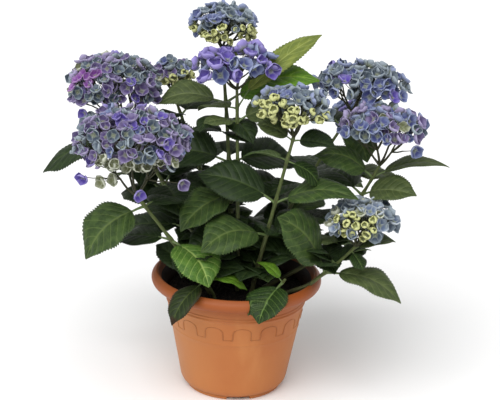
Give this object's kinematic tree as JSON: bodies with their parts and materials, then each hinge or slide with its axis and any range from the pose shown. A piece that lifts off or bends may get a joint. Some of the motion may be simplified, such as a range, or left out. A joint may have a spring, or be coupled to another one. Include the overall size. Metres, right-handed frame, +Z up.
{
  "type": "potted hydrangea shrub",
  "caption": "Hydrangea shrub with rounded blue-violet flower heads and broad toothed leaves, growing in a round terracotta-coloured plastic pot.",
  "frame": {"origin": "middle of the pot's flat underside", "axes": "+Z up along the pot's axis, -Y towards the front of the plant, +X to its right"},
  "size_m": [0.5991, 0.3971, 0.5612],
  "materials": {
    "pot": "moulded satin plastic, terracotta orange-brown",
    "compost": "dark moist potting compost",
    "cane": "green to brown young woody stem",
    "foliage": "dark green toothed leaves with paler veins",
    "flower_head": "blue-violet cupped florets"
  },
  "bodies": {
    "root": {"cane_centre": "cane", "cane_left_far": "cane", "cane_left_front": "cane", "cane_left_mid": "cane", "cane_low_right": "cane", "cane_rear_high": "cane", "cane_rear_left": "cane", "cane_rear_right": "cane", "cane_right_far": "cane", "cane_right_front": "cane", "cane_right_low": "cane", "cane_shoot_left": "cane", "cane_shoot_right": "cane", "head_centre": "flower_head", "head_left_far": "flower_head", "head_left_front": "flower_head", "head_left_mid": "flower_head", "head_low_right": "flower_head", "head_rear_high": "flower_head", "head_rear_left": "flower_head", "head_rear_right": "flower_head", "head_right_far": "flower_head", "head_right_front": "flower_head", "head_right_low": "flower_head", "leaves_centre_crown": "foliage", "leaves_centre_lower": "foliage", "leaves_centre_middle": "foliage", "leaves_centre_upper": "foliage", "leaves_left_far_lower": "foliage", "leaves_left_far_middle": "foliage", "leaves_left_far_upper": "foliage", "leaves_left_front_lower": "foliage", "leaves_left_front_upper": "foliage", "leaves_left_mid_middle": "foliage", "leaves_left_mid_upper": "foliage", "leaves_low_right_lower": "foliage", "leaves_low_right_upper": "foliage", "leaves_rear_high_crown": "foliage", "leaves_rear_high_lower": "foliage", "leaves_rear_high_middle": "foliage", "leaves_rear_high_spur": "foliage", "leaves_rear_high_upper": "foliage", "leaves_rear_left_lower": "foliage", "leaves_rear_left_upper": "foliage", "leaves_rear_right_lower": "foliage", "leaves_rear_right_upper": "foliage", "leaves_right_far_middle": "foliage", "leaves_right_far_upper": "foliage", "leaves_right_front_crown": "foliage", "leaves_right_front_foot": "foliage", "leaves_right_front_lower": "foliage", "leaves_right_front_middle": "foliage", "leaves_right_front_upper": "foliage", "leaves_right_low_lower": "foliage", "leaves_right_low_middle": "foliage", "leaves_right_low_upper": "foliage", "leaves_shoot_left_top": "foliage", "leaves_shoot_right_top": "foliage", "pot": "pot", "potting_soil": "compost"}
  },
  "joints": []
}
